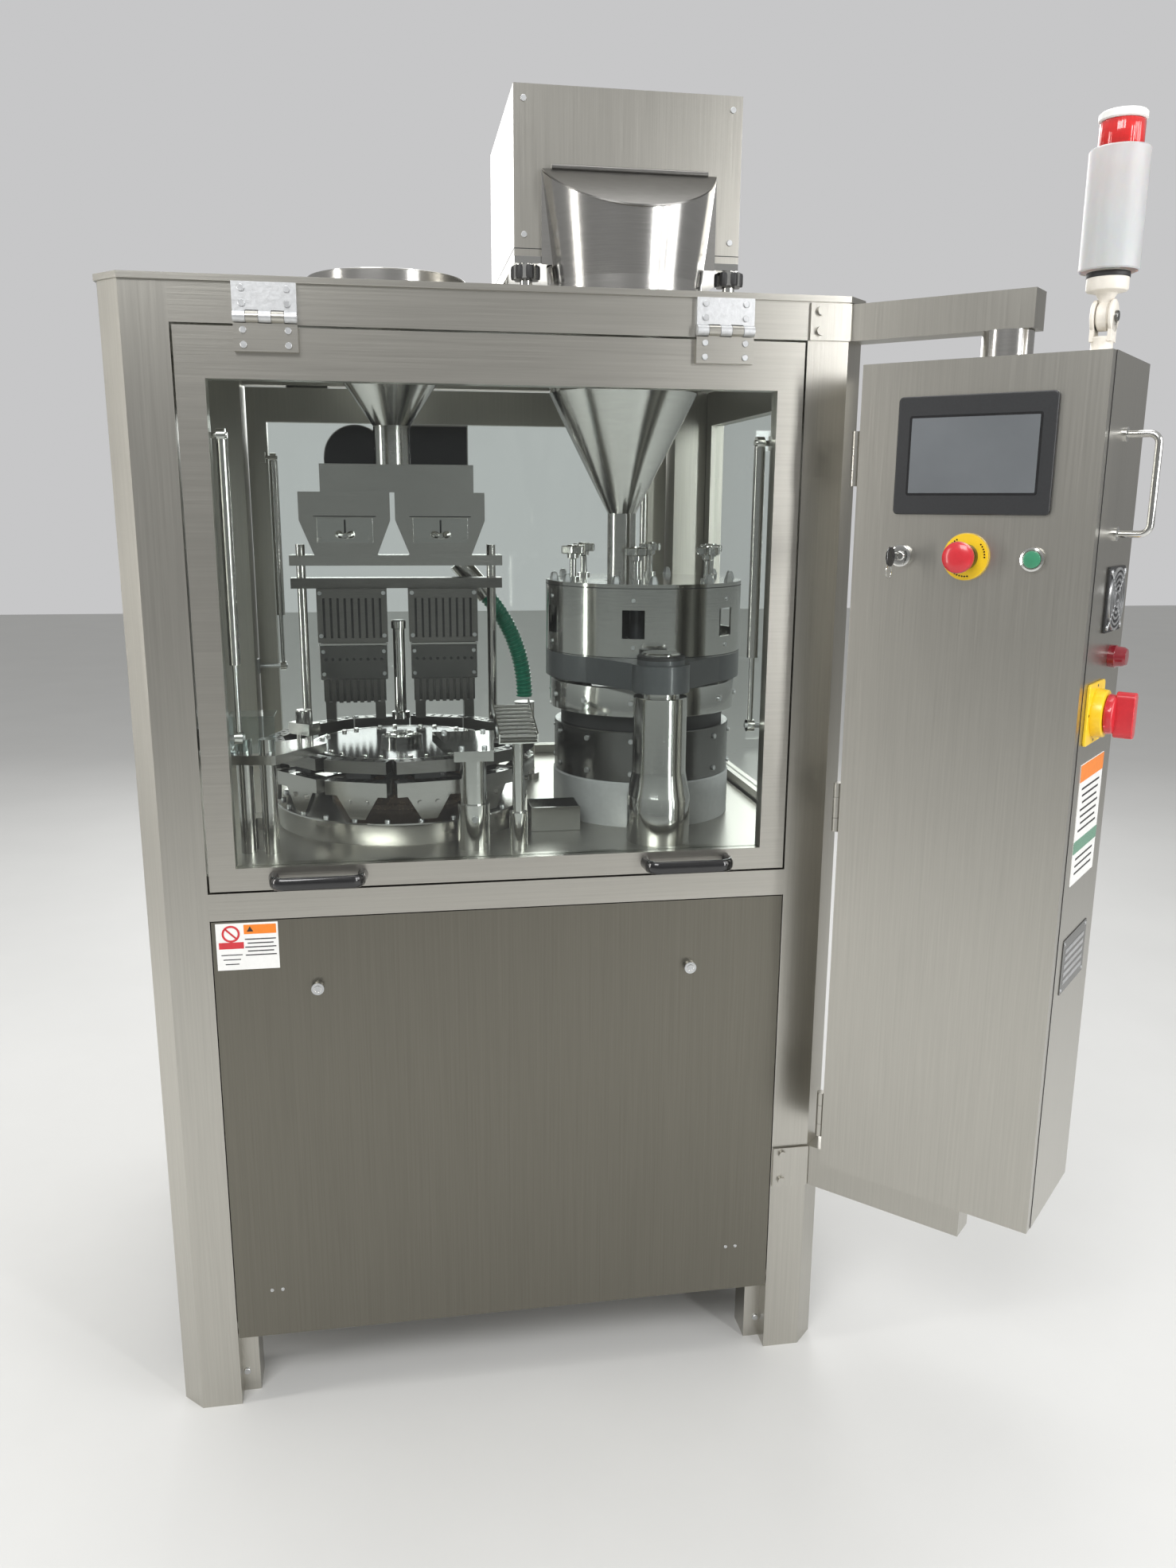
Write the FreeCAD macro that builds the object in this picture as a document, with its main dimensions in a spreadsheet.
"""Rotary capsule filling machine: a free-standing stainless cabinet with a glazed working chamber.

Row frame, millimetres: +X to the operator's right, +Y away from the operator, +Z up, with the origin on the
floor at the centre of the four corner columns.
"""
import FreeCAD, Part
import math
import os
import re
import Sketcher

V = FreeCAD.Vector

# Driving dimensions, in millimetres and degrees. Every one becomes a cell of the sheet.
DIMS = {
    # frame
    "frame_width": 1020, "frame_depth": 860, "frame_height": 1640,
    "column_size": 89, "column_chamfer": 30, "column_wall": 3, "column_sole": 12,
    "foot_hole_radius": 8, "foot_hole_inset": 45,
    "leg_width": 26, "leg_depth": 50, "leg_setback": 30,
    "rail_depth": 40, "rail_wall": 3, "beam_height": 50,
    "transom_low": 792, "transom_high": 832,
    "deck_thick": 18, "deck_setback": 30,
    "lid_thick": 8, "lid_overhang": 4,
    "pan_low": 117, "pan_thick": 4,
    "panel_gap": 1.5, "panel_wall": 2, "panel_return": 20,
    "latch_offset": 276, "latch_height": 686, "latch_radius": 9,
    # glazed doors and windows
    "door_gap": 3, "door_thick": 25, "stile_width": 37, "door_head": 64, "door_sill": 33,
    "pane_thick": 5, "pane_setback": 10,
    "handle_offset": 268, "handle_length": 134, "handle_reach": 30, "handle_bar": 10, "handle_rise": 20,
    "hinge_offset": 302, "hinge_width": 80, "hinge_leaf": 34, "hinge_thick": 8,
    "hinge_axis_height": 1598, "knuckle_radius": 7, "hinge_pin_radius": 3, "knuckle_gap": 0.5,
    "running_gap": 0.05,
    # gas struts
    "strut_offset": 370, "strut_setback": 38, "strut_low": 1048, "strut_high": 1455,
    "strut_tube_radius": 8, "strut_rod_radius": 4, "strut_tube_low": 1150, "strut_rod_top": 1330,
    "strut_eye_radius": 9, "strut_eye_thick": 11, "strut_pin_radius": 4,
    # turret
    "turret_x": -142, "turret_y": -70, "turret_base_radius": 212, "turret_base_height": 35,
    "drum_radius": 115, "drum_top": 943, "disc_radius": 151, "disc_low": 948, "disc_top": 975,
    "turret_shaft_radius": 25, "turret_shaft_low": 640,
    "segment_radius": 205, "segment_length": 100, "segment_depth": 26,
    "segment_first": 250, "segment_bore_radius": 3.6,
    # powder dosing unit
    "dosing_x": 270, "dosing_y": -80, "dosing_radius": 152, "dosing_disc_low": 1053,
    "head_low": 1088, "head_high": 1130, "head_radius": 165, "shroud_high": 1241,
    "knob_circle": 128, "window_width": 36, "window_height": 45,
    "guide_x": 254, "guide_y": -297, "guide_base_radius": 50, "guide_radius": 42, "guide_rod_radius": 30,
    "guide_top": 1080,
    # powder feeder over the dosing unit
    "hopper_x": 222, "hopper_y": -130, "hopper_radius": 140, "hopper_wall": 2,
    "neck_radius": 23, "neck_low": 1215, "neck_high": 1355,
    "feeder_left": 46, "feeder_right": 396, "feeder_front": -160, "feeder_back": 228,
    "feeder_low": 1735, "feeder_high": 1972,
    # capsule feed
    "capsule_x": -143, "capsule_y": 105, "capsule_radius": 133, "capsule_rim": 1735,
    "magazine_width": 122, "magazine_left": -282, "magazine_right": -122, "magazine_front": 72,
    "magazine_depth": 68, "magazine_low": 988, "magazine_high": 1240,
    # posts on the deck
    "press_x": -38, "press_y": -302, "chute_x": 29, "chute_y": -320,
    "closer_x": -358, "closer_y": -265,
    # control cabinet on its arms
    "arm_length": 250, "arm_upper_low": 1590, "arm_lower_low": 298, "arm_lower_high": 366,
    "pivot_reach": 212, "cabinet_width": 310, "cabinet_depth": 200, "cabinet_low": 389,
    "cabinet_high": 1550, "cabinet_wall": 2, "cabinet_door_thick": 18,
    "tower_x": 118, "tower_y": -6,
}

doc = FreeCAD.newDocument("CapsuleFiller")
sheet = doc.addObject("Spreadsheet::Sheet", "Dims")
for row, (alias, value) in enumerate(DIMS.items(), start=1):
    sheet.set(f"A{row}", alias)
    sheet.set(f"B{row}", str(value))
    sheet.setAlias(f"B{row}", alias)
doc.recompute()

WORD = re.compile(r"[a-z][a-z_]{2,}")
subparts = []


def formula(text):
    """An expression in the sheet's terms, from one written with bare names."""
    return WORD.sub(lambda m: "Dims." + m.group() if m.group() in DIMS else m.group(), str(text))


def value(text):
    """The number that such an expression comes to now, for what can't take an expression."""
    terms = {"cos": lambda a: math.cos(math.radians(a)), "sin": lambda a: math.sin(math.radians(a)),
             "sqrt": math.sqrt}
    total = re.sub(r"[a-z][a-z_]*", lambda m: m.group() if m.group() in terms else str(DIMS[m.group()]), str(text))
    return float(FreeCAD.Units.Quantity(0).Value) + _arithmetic(total, terms)


def _arithmetic(text, terms):
    """Adds, subtracts, multiplies and divides the numbers in text, with brackets and the named functions."""
    tokens = re.findall(r"[a-z]+|\d+\.?\d*|[-+*/()]", text)
    place = 0

    def atom():
        nonlocal place
        token = tokens[place]
        place += 1
        if token == "-":
            return -atom()
        if token == "(":
            inner = total()
            place += 1
            return inner
        if token in terms:
            return terms[token](atom())
        return float(token)

    def product():
        nonlocal place
        result = atom()
        while place < len(tokens) and tokens[place] in "*/":
            token = tokens[place]
            place += 1
            result = result * atom() if token == "*" else result / atom()
        return result

    def total():
        nonlocal place
        result = product()
        while place < len(tokens) and tokens[place] in "+-":
            token = tokens[place]
            place += 1
            result = result + product() if token == "+" else result - product()
        return result

    return total()


def bind(item, **sizes):
    for name, text in sizes.items():
        item.setExpression(name, formula(text))
    return item


def place(item, at, turn=0, about=V(0, 0, 1)):
    """Puts item's own origin at a point given by three expressions, turned by an angle about an axis."""
    item.Placement = FreeCAD.Placement(V(0, 0, 0), FreeCAD.Rotation(about, turn))
    for axis, text in zip("xyz", at):
        item.setExpression(f"Placement.Base.{axis}", formula(text))
    return item


def box(size, at, turn=0):
    """A block from its size and its lowest corner."""
    item = doc.addObject("Part::Box", "Block")
    bind(item, Length=size[0], Width=size[1], Height=size[2])
    return place(item, at, turn)


AXES = {"z": (V(0, 0, 1), 0), "x": (V(0, 1, 0), 90), "y": (V(1, 0, 0), -90)}


def rod(radius, length, at, axis="z"):
    """A round bar from its start point, along +X, +Y or +Z."""
    item = doc.addObject("Part::Cylinder", "Rod")
    bind(item, Radius=radius, Height=length)
    about, turn = AXES[axis]
    return place(item, at, turn, about)


def cone(low, high, length, at):
    item = doc.addObject("Part::Cone", "Taper")
    bind(item, Radius1=low, Radius2=high, Height=length)
    return place(item, at)


def ball(radius, at):
    item = doc.addObject("Part::Sphere", "Ball")
    bind(item, Radius=radius)
    return place(item, at)


def fuse(*items):
    item = doc.addObject("Part::MultiFuse", "Joined")
    item.Shapes = list(items)
    item.Refine = True
    return item


def together(*items):
    """Items kept as separate solids."""
    item = doc.addObject("Part::Compound", "Set")
    item.Links = list(items)
    return item


def cut(base, *tools):
    item = doc.addObject("Part::Cut", "Cut")
    item.Base = base
    item.Tool = tools[0] if len(tools) == 1 else together(*tools)
    return item


def mirrored(item, normal):
    copy = doc.addObject("Part::Mirroring", "Mirrored")
    copy.Source = item
    copy.Base = V(0, 0, 0)
    copy.Normal = normal
    return copy


def moved(item, at=(0, 0, 0), turn=0, about=V(0, 0, 1)):
    """Item as a set of its own, with a place of its own."""
    return place(together(item), at, turn, about)


def subpart(label, *items):
    """A named sub-part of one or several separate solids."""
    item = items[0] if len(items) == 1 and items[0].TypeId == "PartDesign::Body" else together(*items)
    item.Label = label
    subparts.append(item)
    return item


# ---- sketched bodies ------------------------------------------------------------------------------------

def body(name):
    return doc.addObject("PartDesign::Body", name)


def plane(owner, role):
    return next(f for f in owner.Origin.OriginFeatures if f.Role == role)


def sketch(owner, role, offset=0):
    item = owner.newObject("Sketcher::SketchObject", "Outline")
    item.AttachmentSupport = [(plane(owner, role), "")]
    item.MapMode = "FlatFace"
    if offset:
        item.setExpression("AttachmentOffset.Base.z", formula(offset))
    return item


def fix_point(item, geometry, end, x, y):
    """Holds one point of a sketch at two expressions."""
    for kind, axis, text in (("DistanceX", -2, x), ("DistanceY", -1, y)):
        number = value(text)
        if abs(number) < 1e-9:
            item.addConstraint(Sketcher.Constraint("PointOnObject", geometry, end, axis))
            continue
        first, second = ((-1, 1), (geometry, end)) if number > 0 else ((geometry, end), (-1, 1))
        index = item.addConstraint(Sketcher.Constraint(kind, *first, *second, abs(number)))
        item.setExpression(f"Constraints[{index}]", formula(text if number > 0 else f"-({text})"))


def outline(item, points):
    """A closed line through points given by pairs of expressions."""
    corners = [V(value(x), value(y), 0) for x, y in points]
    first = len(item.Geometry)
    count = len(corners)
    for i in range(count):
        item.addGeometry(Part.LineSegment(corners[i], corners[(i + 1) % count]), False)
    for i in range(count):
        item.addConstraint(
            Sketcher.Constraint("Coincident", first + i, 2, first + (i + 1) % count, 1))
    for i, (x, y) in enumerate(points):
        fix_point(item, first + i, 1, x, y)


def circle(item, x, y, radius):
    centre = V(value(x), value(y), 0)
    index = item.addGeometry(Part.Circle(centre, V(0, 0, 1), value(radius)), False)
    fix_point(item, index, 3, x, y)
    bound = item.addConstraint(Sketcher.Constraint("Radius", index, value(radius)))
    item.setExpression(f"Constraints[{bound}]", formula(radius))


def pad(owner, profile, length, backwards=False):
    item = owner.newObject("PartDesign::Pad", "Pad")
    item.Profile = profile
    item.Reversed = backwards
    bind(item, Length=length)
    return item


def pocket(owner, profile, length, backwards=False):
    item = owner.newObject("PartDesign::Pocket", "Pocket")
    item.Profile = profile
    item.Reversed = backwards
    bind(item, Length=length)
    return item


def slab(points, low, thick, holes=(), role="XY_Plane", backwards=False):
    """A plate with straight edges and round holes, as a padded sketch."""
    owner = body("Plate")
    profile = sketch(owner, role, low)
    outline(profile, points)
    for x, y, radius in holes:
        circle(profile, x, y, radius)
    pad(owner, profile, thick, backwards)
    return owner


def turned(points):
    """A solid of revolution about +Z, from (radius, height) pairs."""
    owner = body("Turned")
    profile = sketch(owner, "XZ_Plane")
    outline(profile, points)
    item = owner.newObject("PartDesign::Revolution", "Revolution")
    item.Profile = profile
    item.ReferenceAxis = (profile, ["V_Axis"])
    item.Angle = 360
    return owner


def rectangle(left, right, low, high):
    return [(left, low), (right, low), (right, high), (left, high)]


def tube(size, at, wall, along):
    """A rectangular tube, open at both ends of the axis named."""
    inner_size = [length if axis == along else f"{length}-2*{wall}" for axis, length in zip("xyz", size)]
    inner_at = [start if axis == along else f"{start}+{wall}" for axis, start in zip("xyz", at)]
    return cut(box(size, at), box(inner_size, inner_at))


def both_sides(item):
    """Item with its mirror image across the middle plane of the machine."""
    return together(item, mirrored(item, V(1, 0, 0)))


def to_the_rear(item):
    return mirrored(item, V(0, 1, 0))


def ring_of(count, item, at, first=0):
    """Copies of item turned about a vertical axis through a point."""
    return [moved(item, at, first + 360 / count * i) for i in range(count)]


# ---- frame ----------------------------------------------------------------------------------------------

HALF_X = "frame_width/2"
HALF_Y = "frame_depth/2"
INNER_X = f"({HALF_X}-column_size)"
INNER_Y = f"({HALF_Y}-column_size)"
MITRE = "0.4142*column_wall"


def column():
    """The front right column: a folded cladding on a solid sole with one anchor hole."""
    owner = body("Column")
    right, front = HALF_X, f"-{HALF_Y}"
    edge = [
        (INNER_X, front), (f"{right}-column_chamfer", front), (right, f"{front}+column_chamfer"),
        (right, f"-{INNER_Y}"), (INNER_X, f"-{INNER_Y}"),
    ]
    inside = [
        (f"{INNER_X}+column_wall", f"{front}+column_wall"),
        (f"{right}-column_chamfer-{MITRE}", f"{front}+column_wall"),
        (f"{right}-column_wall", f"{front}+column_chamfer+{MITRE}"),
        (f"{right}-column_wall", f"-{INNER_Y}-column_wall"),
        (f"{INNER_X}+column_wall", f"-{INNER_Y}-column_wall"),
    ]
    sole = sketch(owner, "XY_Plane")
    outline(sole, edge)
    circle(sole, f"{right}-foot_hole_inset", f"{front}+foot_hole_inset", "foot_hole_radius")
    pad(owner, sole, "column_sole")
    shell = sketch(owner, "XY_Plane", "column_sole")
    outline(shell, edge)
    outline(shell, inside)
    pad(owner, shell, "frame_height-column_sole")
    return owner


front_columns = both_sides(column())
subpart("front_columns", front_columns)
subpart("rear_columns", to_the_rear(front_columns))

LEG_X = f"({INNER_X}-leg_width)"
leg = box(("leg_width", "leg_depth", "transom_low"), (LEG_X, f"-{HALF_Y}+leg_setback", 0))
legs = both_sides(leg)
lower_rail = box((f"2*{LEG_X}", 30, 30), (f"-{LEG_X}", f"-{HALF_Y}+leg_setback", "pan_low"))
side_rail = box(
    ("leg_width", f"2*({HALF_Y}-leg_setback-leg_depth)", 30),
    (LEG_X, f"-({HALF_Y}-leg_setback-leg_depth)", "pan_low"))
pan = box(
    (f"2*{LEG_X}", f"2*({HALF_Y}-leg_setback)", "pan_thick"),
    (f"-{LEG_X}", f"-({HALF_Y}-leg_setback)", "pan_low+30"))
subpart(
    "inner_frame", legs, to_the_rear(legs), lower_rail, to_the_rear(lower_rail), both_sides(side_rail), pan)


def ring_of_tubes(low, height):
    front = tube((f"2*{INNER_X}", "rail_depth", height), (f"-{INNER_X}", f"-{HALF_Y}", low), "rail_wall", "x")
    side = tube(
        ("rail_depth", f"2*{INNER_Y}", height), (f"{HALF_X}-rail_depth", f"-{INNER_Y}", low), "rail_wall", "y")
    return [front, to_the_rear(front), both_sides(side)]


subpart(
    "frame_rails", *ring_of_tubes("frame_height-beam_height", "beam_height"),
    *ring_of_tubes("transom_low", "transom_high-transom_low"))

LID_X = f"({HALF_X}+lid_overhang)"
LID_Y = f"({HALF_Y}+lid_overhang)"
LID_CORNER = "(column_chamfer+lid_overhang)"
lid_edge = [
    (f"{LID_CORNER}-{LID_X}", f"-{LID_Y}"), (f"{LID_X}-{LID_CORNER}", f"-{LID_Y}"),
    (LID_X, f"{LID_CORNER}-{LID_Y}"), (LID_X, f"{LID_Y}-{LID_CORNER}"),
    (f"{LID_X}-{LID_CORNER}", LID_Y), (f"{LID_CORNER}-{LID_X}", LID_Y),
    (f"-{LID_X}", f"{LID_Y}-{LID_CORNER}"), (f"-{LID_X}", f"{LID_CORNER}-{LID_Y}"),
]
subpart("top_plate", slab(lid_edge, "frame_height", "lid_thick", [
    ("hopper_x", "hopper_y", "hopper_radius-16"), ("capsule_x", "capsule_y", "capsule_radius-4")]))

DECK_X = f"({HALF_X}-deck_setback)"
DECK_Y = f"({HALF_Y}-deck_setback)"
NOTCH_X = f"({INNER_X}-0.5)"
NOTCH_Y = f"({INNER_Y}-0.5)"
deck_edge = [
    (f"-{NOTCH_X}", f"-{DECK_Y}"), (NOTCH_X, f"-{DECK_Y}"), (NOTCH_X, f"-{NOTCH_Y}"), (DECK_X, f"-{NOTCH_Y}"),
    (DECK_X, NOTCH_Y), (NOTCH_X, NOTCH_Y), (NOTCH_X, DECK_Y), (f"-{NOTCH_X}", DECK_Y),
    (f"-{NOTCH_X}", NOTCH_Y), (f"-{DECK_X}", NOTCH_Y), (f"-{DECK_X}", f"-{NOTCH_Y}"), (f"-{NOTCH_X}", f"-{NOTCH_Y}"),
]
subpart("deck_plate", slab(deck_edge, "transom_high", "deck_thick", [
    ("turret_x", "turret_y", "turret_shaft_radius+15"), ("dosing_x", "dosing_y", "turret_shaft_radius+10")]))
DECK = "transom_high+deck_thick"

# ---- lower panels and their latches ---------------------------------------------------------------------

PANEL_X = f"({INNER_X}-panel_gap)"
PANEL_Y = f"({INNER_Y}-panel_gap)"
PANEL_TOP = "(transom_low-panel_gap)"


def long_panel(holes=()):
    """Skin between two columns with a return along its top and bottom edges."""
    skin = slab(
        rectangle(f"-{PANEL_X}", PANEL_X, "pan_low", PANEL_TOP), f"{HALF_Y}-panel_wall", "panel_wall", holes,
        role="XZ_Plane")
    returns = [
        box((f"2*{PANEL_X}", "panel_return", "panel_wall"), (f"-{PANEL_X}", f"-{HALF_Y}+panel_wall", height))
        for height in ("pan_low", f"{PANEL_TOP}-panel_wall")]
    return together(skin, *returns)


subpart("front_lower_panel", long_panel([
    (f"{side}*latch_offset", "latch_height", "latch_radius-4+running_gap") for side in (-1, 1)]))
side_skin = box(
    ("panel_wall", f"2*{PANEL_Y}", f"{PANEL_TOP}-pan_low"), (f"{HALF_X}-panel_wall", f"-{PANEL_Y}", "pan_low"))
subpart("side_and_rear_panels", both_sides(side_skin), to_the_rear(long_panel()))

for side, name in ((-1, "left"), (1, "right")):
    across = f"{side}*latch_offset"
    knob = rod("latch_radius", 11, (across, f"-{HALF_Y}-11.5", "latch_height"), "y")
    stem = rod("latch_radius-4", 12, (across, f"-{HALF_Y}-1", "latch_height"), "y")
    tongue = box((10, 3, 34), (f"{across}-5", f"-{HALF_Y}+7", "latch_height-6"))
    subpart(f"panel_latch_{name}", fuse(knob, stem, tongue))

# ---- windows --------------------------------------------------------------------------------------------

DOOR_X = f"({INNER_X}-door_gap)"
DOOR_LOW = "(transom_high+door_gap)"
DOOR_HIGH = "(frame_height-beam_height-door_gap)"
GLASS_X = f"({DOOR_X}-stile_width)"
GLASS_LOW = f"({DOOR_LOW}+door_sill)"
GLASS_HIGH = f"({DOOR_HIGH}-door_head)"
SIDE_Y = f"({INNER_Y}-door_gap)"


def mitred_frame(half, inner, low, glass_low, glass_high, high, offset, role):
    """Four bars with mitred corners around a pane."""
    bars = [
        [(f"-{half}", low), (half, low), (inner, glass_low), (f"-{inner}", glass_low)],
        [(f"-{inner}", glass_high), (inner, glass_high), (half, high), (f"-{half}", high)],
        [(f"-{half}", low), (f"-{inner}", glass_low), (f"-{inner}", glass_high), (f"-{half}", high)],
        [(half, low), (half, high), (inner, glass_high), (inner, glass_low)],
    ]
    return together(*[slab(bar, offset, "door_thick", role=role) for bar in bars])


STRUT_Y = f"(-{HALF_Y}+strut_setback)"
TOP_BRACKET = "(strut_offset+strut_eye_thick+4)"
door_bracket = box(
    (10, "strut_setback-door_thick+8", 20), (TOP_BRACKET, f"-{HALF_Y}+door_thick", "strut_high-10"))
front_frame = together(
    mitred_frame(DOOR_X, GLASS_X, DOOR_LOW, GLASS_LOW, GLASS_HIGH, DOOR_HIGH, f"{HALF_Y}-door_thick", "XZ_Plane"),
    both_sides(door_bracket))
front_pane = box(
    (f"2*{GLASS_X}", "pane_thick", f"{GLASS_HIGH}-{GLASS_LOW}"),
    (f"-{GLASS_X}", f"-{HALF_Y}+pane_setback", GLASS_LOW))


def bridge_handle():
    low = f"{DOOR_LOW}+7"
    left = "handle_offset-handle_length/2"
    bar = box(("handle_length", "handle_bar", "handle_rise"), (left, f"-{HALF_Y}-handle_reach-handle_bar", low))
    feet = [
        box(("handle_bar", "handle_reach", "handle_rise"), (start, f"-{HALF_Y}-handle_reach", low))
        for start in (left, f"{left}+handle_length-handle_bar")]
    return together(bar, *feet)


HINGE_Y = f"(-{HALF_Y}-hinge_thick)"
HINGE_LEFT = "hinge_offset-hinge_width/2"


def knuckles(places, up):
    """Barrels of one hinge leaf, each with the web that joins it to its leaf."""
    made = []
    for i in places:
        start = f"{HINGE_LEFT}+hinge_width/5*{i}+knuckle_gap/2"
        length = "hinge_width/5-knuckle_gap"
        made.append(rod("knuckle_radius", length, (start, HINGE_Y, "hinge_axis_height"), "x"))
        low = "hinge_axis_height" if up else "hinge_axis_height-hinge_thick"
        made.append(box((length, "hinge_thick-1", "hinge_thick"), (start, HINGE_Y, low)))
    return made


def fixed_leaf():
    leaf = box(
        ("hinge_width", "hinge_thick", "hinge_leaf"), (HINGE_LEFT, HINGE_Y, "hinge_axis_height+hinge_thick"))
    pin = rod("hinge_pin_radius", "hinge_width", (HINGE_LEFT, HINGE_Y, "hinge_axis_height"), "x")
    return fuse(leaf, pin, *knuckles((0, 2, 4), True))


def moving_leaf():
    leaf = box(
        ("hinge_width", "hinge_thick", "hinge_leaf"),
        (HINGE_LEFT, HINGE_Y, "hinge_axis_height-hinge_thick-hinge_leaf"))
    bore = rod(
        "hinge_pin_radius+running_gap", "hinge_width+2", (f"{HINGE_LEFT}-1", HINGE_Y, "hinge_axis_height"), "x")
    return cut(fuse(leaf, *knuckles((1, 3), False)), bore)


front_handles = both_sides(bridge_handle())
front_leaves = both_sides(moving_leaf())
fixed_leaves = both_sides(fixed_leaf())
subpart("front_window_frame", front_frame, front_leaves)
subpart("front_window_pane", front_pane)
subpart("front_window_handles", front_handles)
subpart(
    "rear_window_frame", to_the_rear(front_frame), to_the_rear(front_leaves), to_the_rear(front_handles))
subpart("rear_window_pane", to_the_rear(front_pane))

side_frame = mitred_frame(
    SIDE_Y, f"({SIDE_Y}-stile_width)", DOOR_LOW, GLASS_LOW, GLASS_HIGH, DOOR_HIGH, f"{HALF_X}-door_thick",
    "YZ_Plane")
side_pane = box(
    ("pane_thick", f"2*({SIDE_Y}-stile_width)", f"{GLASS_HIGH}-{GLASS_LOW}"),
    (f"{HALF_X}-pane_setback-pane_thick", f"-({SIDE_Y}-stile_width)", GLASS_LOW))
subpart("side_window_frames", both_sides(side_frame))
subpart("side_window_panes", both_sides(side_pane))

# ---- gas struts -----------------------------------------------------------------------------------------

EYE_LEFT = "strut_offset-strut_eye_thick/2"


def strut_eye(height):
    return rod("strut_eye_radius", "strut_eye_thick", (EYE_LEFT, STRUT_Y, height), "x")


def strut_bore(height):
    return rod(
        "strut_pin_radius+running_gap", "strut_eye_thick+2", (f"{EYE_LEFT}-1", STRUT_Y, height), "x")


strut_bar = rod("strut_rod_radius", "strut_rod_top-strut_low-5", ("strut_offset", STRUT_Y, "strut_low+5"))
front_rods = both_sides(cut(fuse(strut_eye("strut_low"), strut_bar), strut_bore("strut_low")))
strut_case = rod(
    "strut_tube_radius", "strut_high-strut_tube_low-5", ("strut_offset", STRUT_Y, "strut_tube_low"))
case_bore = rod(
    "strut_rod_radius+running_gap", "strut_rod_top-strut_tube_low+25",
    ("strut_offset", STRUT_Y, "strut_tube_low-10"))
stud = rod(
    "strut_pin_radius", f"{TOP_BRACKET}-strut_offset+7.5", ("strut_offset-8", STRUT_Y, "strut_high"), "x")
front_tubes = both_sides(cut(fuse(strut_eye("strut_high"), strut_case, stud), case_bore))
strut_foot = together(
    rod("strut_pin_radius", f"{INNER_X}-strut_offset+8-4", ("strut_offset-8", STRUT_Y, "strut_low"), "x"),
    box((4, 20, 30), (f"{INNER_X}-4", f"{STRUT_Y}-10", "strut_low-15")))
front_feet = both_sides(strut_foot)
subpart("front_strut_rods", front_rods)
subpart("front_strut_tubes", front_tubes)
subpart("rear_strut_rods", to_the_rear(front_rods))
subpart("rear_strut_tubes", to_the_rear(front_tubes))
subpart("fixed_brackets", fixed_leaves, to_the_rear(fixed_leaves), front_feet, to_the_rear(front_feet))

# ---- turret ---------------------------------------------------------------------------------------------

TURRET = ("turret_x", "turret_y", 0)
SHAFT_BORE = "turret_shaft_radius+running_gap"
BASE_TOP = f"{DECK}+turret_base_height"
subpart("turret_base", moved(turned([
    (SHAFT_BORE, DECK), ("turret_base_radius", DECK), ("turret_base_radius", BASE_TOP),
    ("drum_radius", BASE_TOP), ("drum_radius-20", "drum_top"), (SHAFT_BORE, "drum_top")]), TURRET))

ARM_IN = "disc_radius-11"
turret_shaft = rod("turret_shaft_radius", "disc_low-turret_shaft_low+2", (0, 0, "turret_shaft_low"))
turret_disc = rod("disc_radius", "disc_top-disc_low", (0, 0, "disc_low"))
turret_hub = rod(34, 12, (0, 0, "disc_top"))
holder = box(("segment_radius-disc_radius+11", 40, 12), (ARM_IN, -20, "disc_low+6"))
subpart("turret_disc", moved(fuse(turret_shaft, turret_disc, turret_hub, *ring_of(12, holder, (0, 0, 0))), TURRET,
                             DIMS["segment_first"]))

bores = [
    (f"segment_radius+{across}", f"{along}*segment_length/6", "segment_bore_radius")
    for across in (-5, 5) for along in (-2.4, -1.4, -0.4, 0.6, 1.6, 2.6)]
segment_edge = rectangle(
    "segment_radius-segment_depth/2", "segment_radius+segment_depth/2", "-segment_length/2", "segment_length/2")
upper = slab(segment_edge, "disc_low+18", 19, bores)
subpart("upper_segments", *ring_of(12, upper, TURRET, DIMS["segment_first"]))

lower = slab(segment_edge, "disc_low-18", 22, bores)
carrier = [box((f"segment_radius-segment_depth/2-disc_radius+11", 12, 6), (ARM_IN, y, "disc_low-6")) for y in (-38, 26)]
bracket = slab(
    [(-34, "disc_low-18"), (-12, "disc_low-56"), (12, "disc_low-56"), (34, "disc_low-18")],
    "segment_radius", 8, role="YZ_Plane")
bolts = [rod(4, 4, ("segment_radius+8", y, "disc_low-30"), "x") for y in (-14, 14)]
lower_set = together(lower, *carrier, bracket, *bolts)
subpart("lower_segments", *ring_of(12, lower_set, TURRET, DIMS["segment_first"]))

# ---- powder dosing unit ---------------------------------------------------------------------------------

DOSING = ("dosing_x", "dosing_y", 0)
CORE_BORE = "turret_shaft_radius-5+running_gap"
BOWL = "dosing_disc_low-18"
BOWL_TOP = "head_low-6"
dosing_stand = moved(turned([
    (CORE_BORE, DECK), ("dosing_radius", DECK), ("dosing_radius", f"{DECK}+75"),
    ("dosing_radius-2", f"{DECK}+75"), ("dosing_radius-2", "dosing_disc_low-44"),
    ("dosing_radius-12", "dosing_disc_low-44"), ("dosing_radius-12", BOWL), ("dosing_radius+6", BOWL),
    ("dosing_radius+6", BOWL_TOP), ("dosing_radius", BOWL_TOP), ("dosing_radius", "dosing_disc_low-3"),
    (CORE_BORE, "dosing_disc_low-3")]), DOSING)

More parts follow.
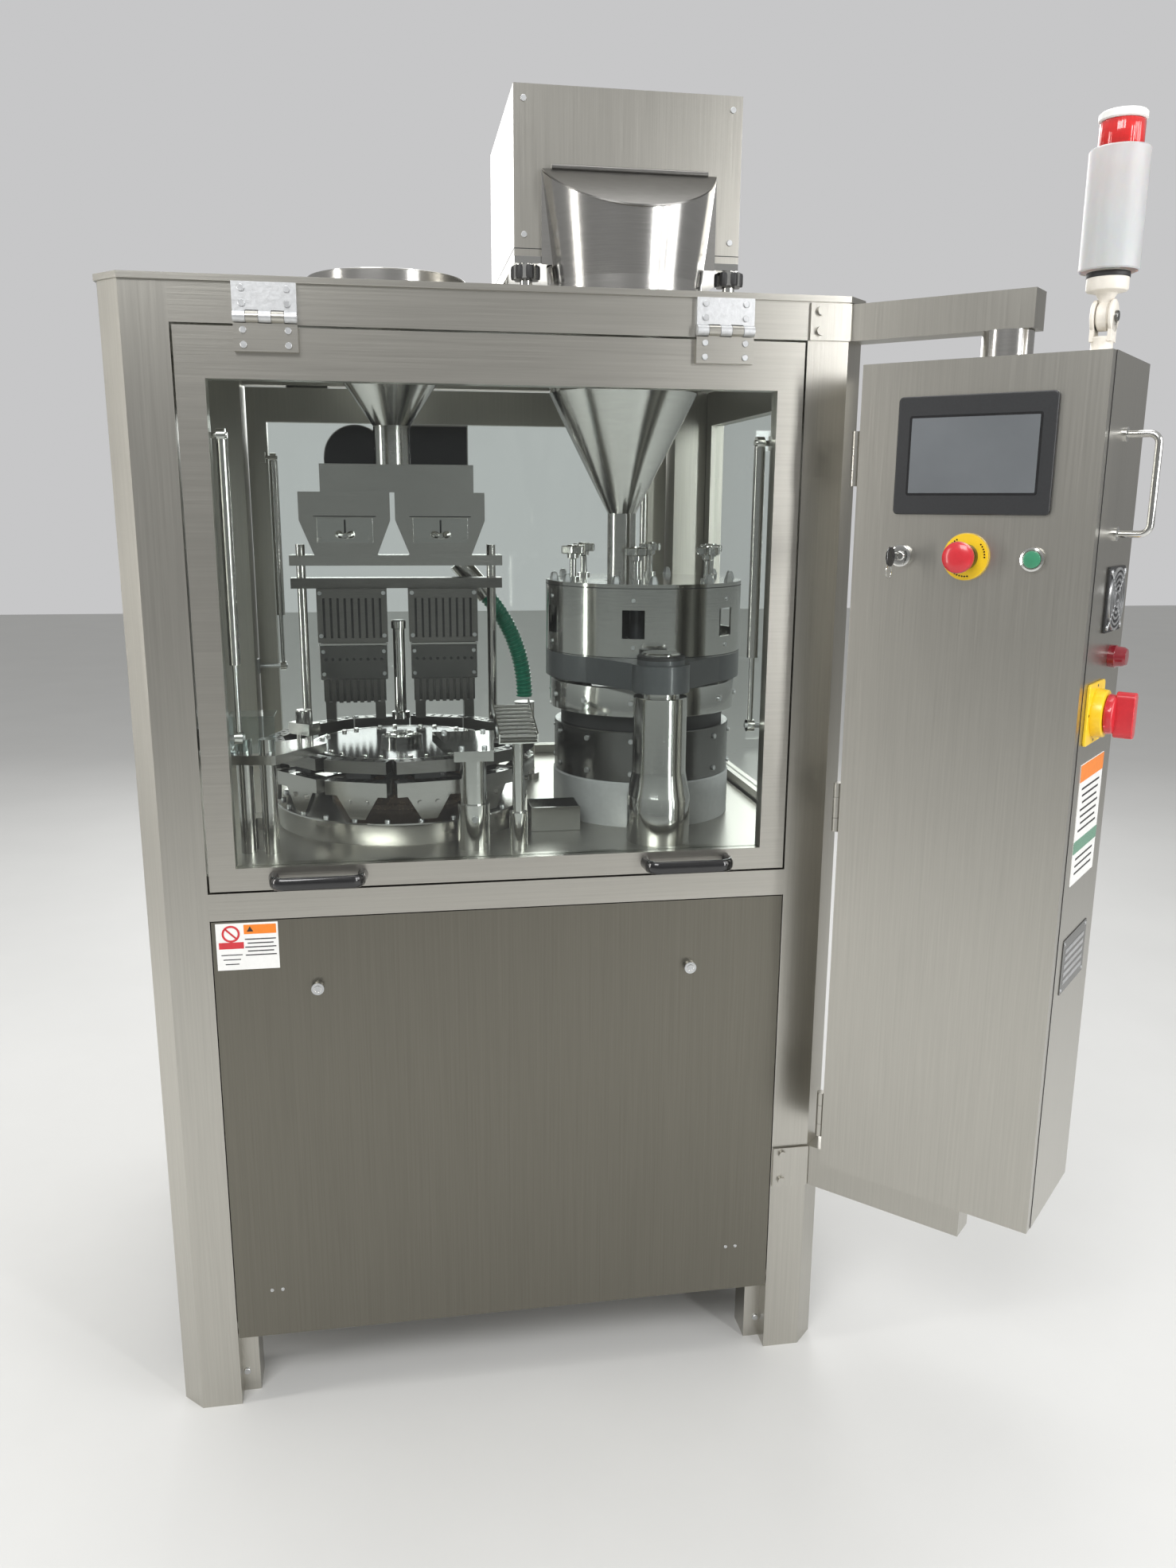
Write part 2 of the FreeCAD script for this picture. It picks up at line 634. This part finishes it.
REAR_GUIDES = [("dosing_x-95", "dosing_y+172"), ("dosing_x+95", "dosing_y+172")]
front_guide = moved(turned([
    (0, DECK), ("guide_base_radius", DECK), ("guide_base_radius", f"{DECK}+75"),
    ("guide_radius", f"{DECK}+112"), ("guide_radius", "guide_top"), ("guide_rod_radius", "guide_top"),
    ("guide_rod_radius", "head_high+18"), (0, "head_high+18")]), ("guide_x", "guide_y", 0))
rear_guides = [
    moved(turned([(0, DECK), (26, DECK), (26, f"{DECK}+60"), (16, f"{DECK}+60"), (16, "head_high+45"),
                  (0, "head_high+45")]), (x, y, 0)) for x, y in REAR_GUIDES]
subpart("dosing_base", dosing_stand, front_guide, *rear_guides)

dosing_disc = slab(
    rectangle(-9, 9, -9, 9), "dosing_disc_low+10", 6)
disc_holes = [
    rod(4, 14, (f"115*cos({15 + 30 * i})", f"115*sin({15 + 30 * i})", "dosing_disc_low-2")) for i in range(12)]
dosing_plate = fuse(
    rod("turret_shaft_radius-5", "dosing_disc_low-turret_shaft_low+1", (0, 0, "turret_shaft_low")),
    cut(rod("dosing_radius-1", 10, (0, 0, "dosing_disc_low")), *disc_holes), dosing_disc)
subpart("dosing_disc", moved(dosing_plate, DOSING))

HEAD_THICK = "head_high-head_low"
web = slab([
    ("dosing_x-122", "dosing_y-108"), ("guide_x-44", "guide_y+8"), ("guide_x+44", "guide_y+8"),
    ("dosing_x+122", "dosing_y-108")], "head_low", HEAD_THICK)
ears = [rod(34, HEAD_THICK, (x, y, "head_low")) for x, y in REAR_GUIDES]
head_bores = [
    rod("guide_rod_radius+running_gap", f"{HEAD_THICK}+20", ("guide_x", "guide_y", "head_low-2")),
    rod("neck_radius+3", f"{HEAD_THICK}+4", ("hopper_x", "hopper_y", "head_low-2"))]
head_bores += [rod("16+running_gap", f"{HEAD_THICK}+4", (x, y, "head_low-2")) for x, y in REAR_GUIDES]
head = fuse(
    rod("head_radius", HEAD_THICK, ("dosing_x", "dosing_y", "head_low")), web,
    rod(45, HEAD_THICK, ("guide_x", "guide_y", "head_low")),
    rod(37, f"{HEAD_THICK}+9", ("guide_x", "guide_y", "head_low")), *ears)
tamping_plate = cut(head, *head_bores)

STATIONS = [253 + 60 * i for i in range(6)]
shroud = cut(
    rod("head_radius", "shroud_high-head_high", (0, 0, "head_high")),
    rod("head_radius-3", "shroud_high-head_high+2", (0, 0, "head_high-1")),
    *[moved(box((30, "window_width", "window_height"), ("head_radius-15", "-window_width/2", "head_high+32")),
            (0, 0, 0), angle) for angle in STATIONS])
cap = cut(
    rod("head_radius", 6, (0, 0, "shroud_high")),
    rod("neck_radius+3", 10, ("hopper_x-dosing_x", "hopper_y-dosing_y", "shroud_high-2")))
subpart("tamping_shroud", moved(shroud, DOSING), moved(cap, DOSING))

pins = []
for angle in STATIONS:
    x, y = f"104*cos({angle})", f"104*sin({angle})"
    pins.append(rod(12, "shroud_high-head_high", (x, y, "head_high")))
    pins.append(rod(5, "head_low-dosing_disc_low-13", (f"115*cos({angle})", f"115*sin({angle})", "dosing_disc_low+13")))
subpart("tamping_head", tamping_plate, moved(together(*pins), DOSING))

knobs = []
for angle in STATIONS:
    x, y = f"knob_circle*cos({angle})", f"knob_circle*sin({angle})"
    knobs.append(fuse(
        rod(8, 34, (x, y, "shroud_high+6")), rod(19, 24, (x, y, "shroud_high+40")), rod(11, 4, (x, y, "shroud_high+6"))))
subpart("adjuster_knobs", moved(together(*knobs), DOSING))

# ---- powder hopper, auger and feeder --------------------------------------------------------------------

HOPPER = ("hopper_x", "hopper_y", 0)
SHOULDER = "(hopper_radius-20)"
vessel = turned([
    ("neck_radius-hopper_wall", "neck_low"), ("neck_radius", "neck_low"), ("neck_radius", "neck_high"),
    (f"{SHOULDER}-2", 1540), (SHOULDER, 1700), ("hopper_radius", 1860), ("hopper_radius-hopper_wall", 1860),
    (f"{SHOULDER}-hopper_wall", 1700), (f"{SHOULDER}-2-hopper_wall", 1540),
    ("neck_radius-hopper_wall", "neck_high+1")])
CHORD = "(feeder_front-3)"
MOUTH = 1855
SLOPE = 33
behind = box((400, 400, 300), ("hopper_x-200", CHORD, "feeder_low-12"))
above = place(
    box((400, 210, 200), (0, 0, 0)),
    ("hopper_x-200", f"{CHORD}-200*cos({SLOPE})", f"{MOUTH}-200*sin({SLOPE})"), SLOPE, V(1, 0, 0))
back_wall = box((270, 2, f"{MOUTH}-feeder_low+12"), ("hopper_x-135", f"{CHORD}-2", "feeder_low-12"))
subpart("powder_hopper", cut(moved(vessel, HOPPER), together(behind, above)), back_wall)

lid_sheet = place(
    box((300, 150, 2), (0, 0, 0)),
    ("hopper_x-150", f"{CHORD}-3-150*cos({SLOPE})", f"{MOUTH}+0.6-153*sin({SLOPE})+0.9"), SLOPE, V(1, 0, 0))
lid_limit = rod("hopper_radius-1", 400, ("hopper_x", "hopper_y", 1700))
lid_common = doc.addObject("Part::MultiCommon", "Common")
lid_common.Shapes = [lid_sheet, lid_limit]
lid_roll = rod(4, 240, ("hopper_x-120", f"{CHORD}-4", f"{MOUTH}+4"), "x")
subpart("hopper_lid", fuse(lid_common, lid_roll))

flights = [rod(19, 2, (0, 0, f"neck_low+{25 + 22 * i}")) for i in range(6)]
stirrers = [box((190, 10, 10), (-95, -5, 1600)), box((60, 8, 8), (-30, -4, 1430))]
auger = fuse(rod(8, "feeder_low+20-neck_low-20", (0, 0, "neck_low+20")), *flights, *stirrers)
subpart("powder_auger", moved(auger, HOPPER))

FEED_WIDE = "feeder_right-feeder_left"
FEED_DEEP = "feeder_back-feeder_front"
case = cut(
    box((FEED_WIDE, FEED_DEEP, "feeder_high-feeder_low"), ("feeder_left", "feeder_front", "feeder_low")),
    box((f"{FEED_WIDE}-6", f"{FEED_DEEP}-6", "feeder_high-feeder_low-2"),
        ("feeder_left+3", "feeder_front+3", "feeder_low-1")))
subpart("feeder_housing", case)
pillars = []
for x in ("feeder_left+19", "feeder_right-11"):
    for y in ("feeder_front+14", "feeder_back-20"):
        pillars.append(rod(10, "feeder_low-10-frame_height-lid_thick", (x, y, "frame_height+lid_thick")))
        pillars.append(rod(20, 20, (x, y, "feeder_low-32")))
foot_plate = cut(
    box((FEED_WIDE, FEED_DEEP, 10), ("feeder_left", "feeder_front", "feeder_low-10")),
    rod("8+running_gap", 14, ("hopper_x", "hopper_y", "feeder_low-12")))
gear_motor = rod(58, 130, ("hopper_x", "hopper_y+110", "feeder_low+20"))
gear_case = box((130, 220, 40), ("hopper_x-65", "hopper_y-25", "feeder_low+22"))
subpart("feeder_stand", fuse(foot_plate, *pillars), fuse(gear_motor, gear_case))

# ---- capsule feed ---------------------------------------------------------------------------------------

CAPSULE = ("capsule_x", "capsule_y", 0)
PLATE_TOP = "frame_height+lid_thick"
funnel = turned([
    (30, 1435), (32, 1435), (32, 1500), ("capsule_radius-5", "frame_height"), ("capsule_radius-5", PLATE_TOP),
    ("capsule_radius", PLATE_TOP), ("capsule_radius", "capsule_rim"), ("capsule_radius-2", "capsule_rim"),
    ("capsule_radius-2", f"{PLATE_TOP}+2"), ("capsule_radius-7", f"{PLATE_TOP}+2"),
    ("capsule_radius-7", "frame_height+1"), (30, 1501)])
vents = [rod(2.5, 20, ("capsule_radius-8", 0, f"{PLATE_TOP}+12"), "x")]
subpart("capsule_hopper", cut(moved(funnel, CAPSULE), *ring_of(20, together(*vents), CAPSULE)))

MAG_BACK = "(magazine_front+magazine_depth)"
GUIDE_Y = "(magazine_front+magazine_depth/2)"
BAR_LOW = "(magazine_high+22)"
trough = box((264, "magazine_depth", 47), (-268, "magazine_front", 1388))
chutes = [
    slab([(left, 1388), (left, 1340), (left + drop, 1280), (right - drop, 1280), (right, 1340), (right, 1388)],
         f"-{MAG_BACK}", "magazine_depth", role="XZ_Plane") for left, right, drop in ((-306, -150, 24), (-141, 15, 24))]
round_plate = together(
    box((112, 6, 60), (-262, MAG_BACK, 1388)), rod(56, 6, (-206, MAG_BACK, 1448), "y"))
square_plate = box((110, 6, 118), (-118, MAG_BACK, 1388))
subpart("capsule_chutes", trough, *chutes, round_plate, square_plate)
cross_bar = box((372, "magazine_depth-16", 18), (-326, "magazine_front+8", BAR_LOW))
guides = []
for x in (-308, 28):
    guides.append(rod(8, f"{BAR_LOW}-{DECK}", (x, GUIDE_Y, DECK)))
    guides.append(rod(16, 30, (x, GUIDE_Y, DECK)))

mag_slots = [
    box((4, 8, 70), (f"magazine_left+{10 + 12.2 * i:.1f}", "magazine_front-1", "magazine_low+148"))
    for i in range(9)]
upper_block = cut(
    box(("magazine_width", "magazine_depth", "magazine_high-18-magazine_low-140"),
        ("magazine_left", "magazine_front", "magazine_low+140")), *mag_slots)
lower_block = box(
    ("magazine_width-8", "magazine_depth-8", 67), ("magazine_left+4", "magazine_front+4", "magazine_low+73"))
comb = [
    box((7, "magazine_depth-20", 43), (f"magazine_left+{8 + 12.2 * i:.1f}", "magazine_front+8", "magazine_low+31"))
    for i in range(9)]
shoes = [
    box((18, "magazine_depth-30", 32), (x, "magazine_front+14", "magazine_low"))
    for x in ("magazine_left+8", "magazine_left+magazine_width-26")]
magazine = fuse(upper_block, lower_block, *comb, *shoes)
right_magazine = moved(magazine, ("magazine_right-magazine_left", 0, 0))
carriage = cut(
    box((372, "magazine_depth-32", 18), (-326, "magazine_front+16", "magazine_high-18")),
    *[rod("8+running_gap", 22, (x, GUIDE_Y, "magazine_high-20")) for x in (-308, 28)])
subpart("magazines", magazine, right_magazine, carriage)

# ---- stations around the turret -------------------------------------------------------------------------

press = fuse(
    rod(25, 71, ("press_x", "press_y", DECK)), rod(20, 140, ("press_x", "press_y", DECK)),
    slab([("press_x-30", "press_y-20"), ("press_x+30", "press_y-20"), ("press_x+46", "press_y+150"),
          ("press_x-56", "press_y+150")], f"{DECK}+139", 16))

chute_floor = box((60, 130, 2), (-30, 0, 0))
chute_walls = [box((2, 130, 14), (x, 0, 2)) for x in (-30, 28)]
chute = place(
    together(chute_floor, *chute_walls), ("chute_x", "chute_y-12", f"{DECK}+167"), 15, V(1, 0, 0))
chute_post = fuse(rod(14, 59, ("chute_x", "chute_y", DECK)), rod(9, 166, ("chute_x", "chute_y", DECK)))
subpart("front_posts", press, chute_post, chute)

CLOSER_LOW = f"({DECK}+140)"
PUSH = [("closer_x+56", "closer_y+62"), ("closer_x+74", "closer_y+46")]
closer_plate = slab(
    [("closer_x-43", "closer_y-36"), ("closer_x+28", "closer_y-46"), ("closer_x+98", "closer_y+44"),
     ("closer_x+58", "closer_y+86"), ("closer_x-43", "closer_y+34")], CLOSER_LOW, 14,
    [(x, y, "4+running_gap") for x, y in PUSH])
closer_posts = [
    rod(12, f"{CLOSER_LOW}-{DECK}", (x, y, DECK))
    for x, y in (("closer_x-20", "closer_y-16"), ("closer_x+14", "closer_y-24"))]
closer_block = box((44, 36, 50), ("closer_x-26", "closer_y-6", DECK))
subpart("closing_station", closer_plate, *closer_posts, closer_block)
push_pins = [rod(4, 20, (x, y, f"{CLOSER_LOW}+10")) for x, y in PUSH]
push_block = moved(box((44, 24, 18), (-22, -12, 0)), ("closer_x+65", "closer_y+54", f"{CLOSER_LOW}+28"), -42)
push_knob = rod(11, 22, ("closer_x+65", "closer_y+54", f"{CLOSER_LOW}+44"))
subpart("closing_pusher", fuse(*push_pins, push_block, push_knob))

TRAY = ("dosing_x-210", "dosing_y-148")
tray_parts = [box((80, 63, 2), (TRAY[0], TRAY[1], f"{DECK}+0.5"))]
tray_parts += [box((2, 63, 38), (x, TRAY[1], f"{DECK}+2.5")) for x in (TRAY[0], f"{TRAY[0]}+78")]
tray_parts += [box((76, 2, 38), (f"{TRAY[0]}+2", y, f"{DECK}+2.5")) for y in (TRAY[1], f"{TRAY[1]}+61")]
subpart("reject_tray", *tray_parts)

# ---- vacuum hose ----------------------------------------------------------------------------------------

HOSE_Y = "(magazine_front+magazine_depth+35)"
bend = doc.addObject("Part::Torus", "Bend")
bend.Radius1 = 300
bend.Radius2 = 16
bend.Angle3 = 40
place(bend, (-205, HOSE_Y, f"{DECK}+160"), 90, V(1, 0, 0))
subpart("vacuum_hose", bend)
hose_port = fuse(rod(19, 150, (95, HOSE_Y, DECK)), rod(28, 12, (95, HOSE_Y, DECK)))
top_port = place(rod(19, 80, (0, 0, 0)), (
    "-205+300*cos(40)", HOSE_Y, f"{DECK}+160+300*sin(40)"), -40, V(0, 1, 0))
port_arm = box((50, 62, 18), (-52, f"{MAG_BACK}-12", BAR_LOW))
subpart("magazine_guides", fuse(cross_bar, *guides, port_arm, top_port), hose_port)

# ---- drive under the deck -------------------------------------------------------------------------------

SHAFT_Z = "(turret_shaft_low-45)"
SHAFT_Y = "(turret_y-5)"


def index_box(x, y, bore):
    case = box((190, 190, "transom_high-turret_shaft_low+80"), (f"{x}-95", f"{y}-95", "turret_shaft_low-80"))
    return cut(
        case, rod(bore, "transom_high-turret_shaft_low+2", (x, y, "turret_shaft_low-1")),
        rod("15+running_gap", 200, (f"{x}-100", SHAFT_Y, SHAFT_Z), "x"))


subpart("index_boxes", index_box("turret_x", "turret_y", SHAFT_BORE), index_box("dosing_x", "dosing_y", CORE_BORE))
subpart("main_shaft", fuse(
    rod(15, 700, (-290, SHAFT_Y, SHAFT_Z), "x"), rod(60, 26, (10, SHAFT_Y, SHAFT_Z), "x"),
    rod(55, 18, (90, SHAFT_Y, SHAFT_Z), "x"), rod(48, 22, (-288, SHAFT_Y, SHAFT_Z), "x")))
FLOOR = "pan_low+30+pan_thick"
motor = fuse(
    box((170, 150, 170), (-300, -110, FLOOR)), rod(75, 260, (-130, -35, f"{FLOOR}+95"), "x"),
    rod(50, 40, (130, -35, f"{FLOOR}+95"), "x"), box((120, 110, 24), (-60, -90, FLOOR)))
pump = fuse(
    box((260, 180, 20), (150, 90, FLOOR)), rod(85, 150, (160, 180, f"{FLOOR}+105"), "x"),
    rod(60, 90, (310, 180, f"{FLOOR}+105"), "x"), rod(26, 60, (235, 180, f"{FLOOR}+180")))
subpart("motor_and_pump", motor, pump)

# ---- arms and control cabinet ---------------------------------------------------------------------------

CHAMFER_MID = (f"{HALF_X}-column_chamfer/2", f"-({HALF_Y}-column_chamfer/2)", 0)
POST = (f"{HALF_X}-column_chamfer/2+pivot_reach*cos(45)", f"-({HALF_Y}-column_chamfer/2+pivot_reach*cos(45))", 0)
TURN = -45
UPPER_HIGH = "(frame_height-2)"


def arm(low, high):
    beam = box(("arm_length", 43, f"{high}-{low}"), (0, -21.5, low))
    bore = rod("12+running_gap", f"{high}-{low}+4", ("pivot_reach", 0, f"{low}-2"))
    return moved(cut(beam, bore), CHAMFER_MID, TURN)


def arm_bracket(low, high):
    plate = box((58, 4, f"{high}-{low}"), (f"{INNER_X}+2", f"-{HALF_Y}-4", low))
    heads = [rod(6, 5, (f"{INNER_X}+16", f"-{HALF_Y}-9", z), "y") for z in (f"{low}+12", f"{high}-10")]
    return fuse(plate, *heads)


subpart("cabinet_arms", arm("arm_upper_low", UPPER_HIGH), arm_bracket("arm_upper_low", UPPER_HIGH),
        arm("arm_lower_low", "arm_lower_high"), arm_bracket("arm_lower_low", "arm_lower_high"))


def on_cabinet(*items):
    """Items drawn in the cabinet's own axes, with its swivel axis as origin and its front facing -Y."""
    return moved(together(*items), POST, TURN)


BOX_X = "cabinet_width/2"
BOX_Y = "cabinet_depth/2"
WALL = "cabinet_wall"
SHELL_FRONT = f"(cabinet_door_thick-{BOX_Y})"
SHELL_DEEP = "(cabinet_depth-cabinet_door_thick)"
INNER_LOW = f"(cabinet_low+{WALL})"
INNER_HIGH = f"(cabinet_high-{WALL})"
INNER_TALL = f"({INNER_HIGH}-{INNER_LOW})"
SWITCH = (-25, 1110)
shell = [
    box(("cabinet_width", SHELL_DEEP, WALL), (f"-{BOX_X}", SHELL_FRONT, z)) for z in ("cabinet_low", INNER_HIGH)]
shell.append(box((WALL, SHELL_DEEP, INNER_TALL), (f"-{BOX_X}", SHELL_FRONT, INNER_LOW)))
shell.append(slab(
    rectangle(SHELL_FRONT, BOX_Y, INNER_LOW, INNER_HIGH), f"{BOX_X}-{WALL}", WALL, [(*SWITCH, 11.5)],
    role="YZ_Plane"))
shell.append(box(
    (f"cabinet_width-2*{WALL}", WALL, INNER_TALL), (f"-{BOX_X}+{WALL}", f"{BOX_Y}-{WALL}", INNER_LOW)))
BARREL_X, BARREL_Y = f"(-{BOX_X}-6)", f"(6-{BOX_Y})"
BARRELS = (470, 950, 1430)
barrels = []
for z in BARRELS:
    tabs = [box((6, 24, 20), (BARREL_X, BARREL_Y, start)) for start in (z - 35.5, z + 15.5)]
    rounds = [rod(6, 20, (BARREL_X, BARREL_Y, start)) for start in (z - 35.5, z + 15.5)]
    barrels.append(fuse(rod(3, 71, (BARREL_X, BARREL_Y, z - 35.5)), *tabs, *rounds))
subpart("cabinet_shell", on_cabinet(*shell, *barrels))

swivel = fuse(
    rod(32.5, "arm_upper_low-0.5-cabinet_high", (0, 0, "cabinet_high")),
    rod(12, f"{UPPER_HIGH}-cabinet_high", (0, 0, "cabinet_high")))
foot = fuse(
    rod(30, "cabinet_low-arm_lower_high-0.5", (0, 0, "arm_lower_high+0.5")),
    rod(12, "cabinet_low-arm_lower_low-4", (0, 0, "arm_lower_low+4")))
subpart("swivel_post", on_cabinet(swivel, foot))

back_plate = box((270, 3, 1060), (-135, f"{BOX_Y}-14", 440))
modules = [box(size, at) for size, at in (
    ((110, 70, 220), (-120, f"{BOX_Y}-84", 1120)), ((100, 60, 160), (10, f"{BOX_Y}-74", 1150)),
    ((250, 22, 40), (-125, f"{BOX_Y}-36", 1040)), ((240, 50, 90), (-120, f"{BOX_Y}-64", 900)),
    ((240, 50, 90), (-120, f"{BOX_Y}-64", 740)), ((250, 22, 40), (-125, f"{BOX_Y}-36", 660)),
    ((230, 30, 60), (-115, f"{BOX_Y}-44", 520)))]
subpart("cabinet_electrics", on_cabinet(back_plate, *modules))

CONTROLS = {"estop": (0, 1306), "start": (84, 1305), "key": (-86, 1305)}
DOOR_LEFT = f"(0.5-{BOX_X})"
DOOR_WIDE = "(cabinet_width-1)"
DOOR_BACK = "(cabinet_door_thick-1-2)"
skin = slab(
    rectangle(DOOR_LEFT, f"{BOX_X}-0.5", "cabinet_low+1", "cabinet_high-1"), f"{BOX_Y}-{WALL}", WALL,
    [(*CONTROLS["estop"], 12), (*CONTROLS["start"], 12), (*CONTROLS["key"], 8)], role="XZ_Plane")
folds = [
    box((DOOR_WIDE, DOOR_BACK, WALL), (DOOR_LEFT, f"{WALL}-{BOX_Y}", z))
    for z in ("cabinet_low+1", "cabinet_high-1-2")]
folds += [
    box((WALL, DOOR_BACK, "cabinet_high-cabinet_low-6"), (x, f"{WALL}-{BOX_Y}", "cabinet_low+3"))
    for x in (DOOR_LEFT, f"{BOX_X}-0.5-{WALL}")]
door_barrels = []
for z in BARRELS:
    joined = fuse(
        rod(6, 30, (BARREL_X, BARREL_Y, z - 15)), box((6.5, 6, 30), (BARREL_X, f"{BARREL_Y}-3", z - 15)))
    door_barrels.append(cut(joined, rod("3+running_gap", 32, (BARREL_X, BARREL_Y, z - 16))))

FACE = f"-{BOX_Y}"
HMI = (0, 1432)
bezel = cut(
    box((200, 7, 147), (HMI[0] - 100, f"{FACE}-7", HMI[1] - 73.5)),
    box((160, 9, 92), (HMI[0] - 80, f"{FACE}-8", HMI[1] - 46)))
screen = box((160, 5, 92), (HMI[0] - 80, f"{FACE}-5", HMI[1] - 46))
subpart("operator_panel", on_cabinet(bezel, screen))


def collar(name, outer, bore, depth):
    x, z = CONTROLS[name]
    return cut(
        rod(outer, depth, (x, f"{FACE}-{depth}", z), "y"), rod(bore, depth + 2, (x, f"{FACE}-{depth}-1", z), "y"))


stop_plate = cut(
    rod(30, 3, (0, f"{FACE}-3", 1306), "y"), rod(16, 5, (0, f"{FACE}-4", 1306), "y"))
subpart("cabinet_door", on_cabinet(
    skin, *folds, *door_barrels, stop_plate, collar("estop", 16, "11+running_gap", 18),
    collar("start", 15, "11+running_gap", 5), collar("key", 14, "6+running_gap", 6)))
subpart("estop_head", on_cabinet(fuse(
    rod(11, 38, (0, f"{FACE}-26", 1306), "y"), rod(20, 14, (0, f"{FACE}-40", 1306), "y"))))
subpart("start_button", on_cabinet(rod(11, 16, (CONTROLS["start"][0], f"{FACE}-8", 1305), "y")))
subpart("cabinet_key", on_cabinet(fuse(
    rod(6, 20, (-86, f"{FACE}-12", 1305), "y"), box((3, 26, 10), (-87.5, f"{FACE}-36", 1300)),
    box((3, 22, 24), (-87.5, f"{FACE}-52", 1293)))))

SIDE = BOX_X
switch_plate = cut(
    fuse(box((4, 80, 80), (SIDE, -65, 1070)), rod(32, 14, (f"{SIDE}+3", *SWITCH), "x")),
    rod("10+running_gap", 24, (f"{SIDE}-2", *SWITCH), "x"))
lamp = rod(15, 22, (SIDE, 40, 1177), "x")
grille = cut(
    box((6, 84, 84), (SIDE, -18, 1211)), *[box((4, 66, 5), (f"{SIDE}+3", -9, 1219 + 10 * i)) for i in range(7)])
plates = [box((0.8, 120, 165), (SIDE, -56, 880)), box((1.2, 120, 78), (SIDE, -56, 727))]
subpart("main_switch_handle", on_cabinet(fuse(
    rod(10, 36, (f"{SIDE}-12", *SWITCH), "x"), rod(26, 12, (f"{SIDE}+18", *SWITCH), "x"),
    box((24, 16, 62), (f"{SIDE}+29", SWITCH[0] - 8, SWITCH[1] - 31)))))
grip = together(
    rod(5, 132, (f"{SIDE}+40", 0, 1331)), rod(5, 40, (SIDE, 0, 1336), "x"), rod(5, 40, (SIDE, 0, 1458), "x"))

LAMP = ("tower_x", "tower_y")
TILT = 1598
cheeks = [box((5, 30, 40), (f"tower_x+{start}", "tower_y-15", 1572)) for start in (8, -13)]
tower_stand = fuse(
    rod(22, 6, (*LAMP, "cabinet_high")), rod(13, 30, (*LAMP, "cabinet_high")),
    box((26, 30, 8), ("tower_x-13", "tower_y-15", 1566)), *cheeks,
    rod(4, 26, ("tower_x-13", "tower_y", TILT), "x"))
subpart("cabinet_fittings", on_cabinet(switch_plate, lamp, grille, *plates, grip, tower_stand))
knuckle = cut(
    fuse(rod(17, 14, ("tower_x-7", "tower_y", TILT), "x"), rod(5.5, 26, (*LAMP, TILT + 4))),
    rod("4+running_gap", 20, ("tower_x-10", "tower_y", TILT), "x"))
stack = fuse(
    rod(25, 23, (*LAMP, TILT + 28)), rod(35, 139, (*LAMP, 1649)), rod(26, 29, (*LAMP, 1788)),
    rod(28, 11, (*LAMP, 1817)))
subpart("tower_light", on_cabinet(fuse(knuckle, stack)))

# ---- check and write ------------------------------------------------------------------------------------

doc.recompute()
os.makedirs("parts", exist_ok=True)
faults = [item.Label for item in doc.Objects if {"Invalid", "Error"} & set(item.State)]
if faults:
    raise RuntimeError(f"not built: {faults}")
for item in subparts:
    if item.Shape.isNull() or not item.Shape.isValid():
        raise RuntimeError(f"bad shape: {item.Label}")
    item.Shape.exportStep(f"parts/{item.Label}.step")
print(f"{len(subparts)} sub-parts written")
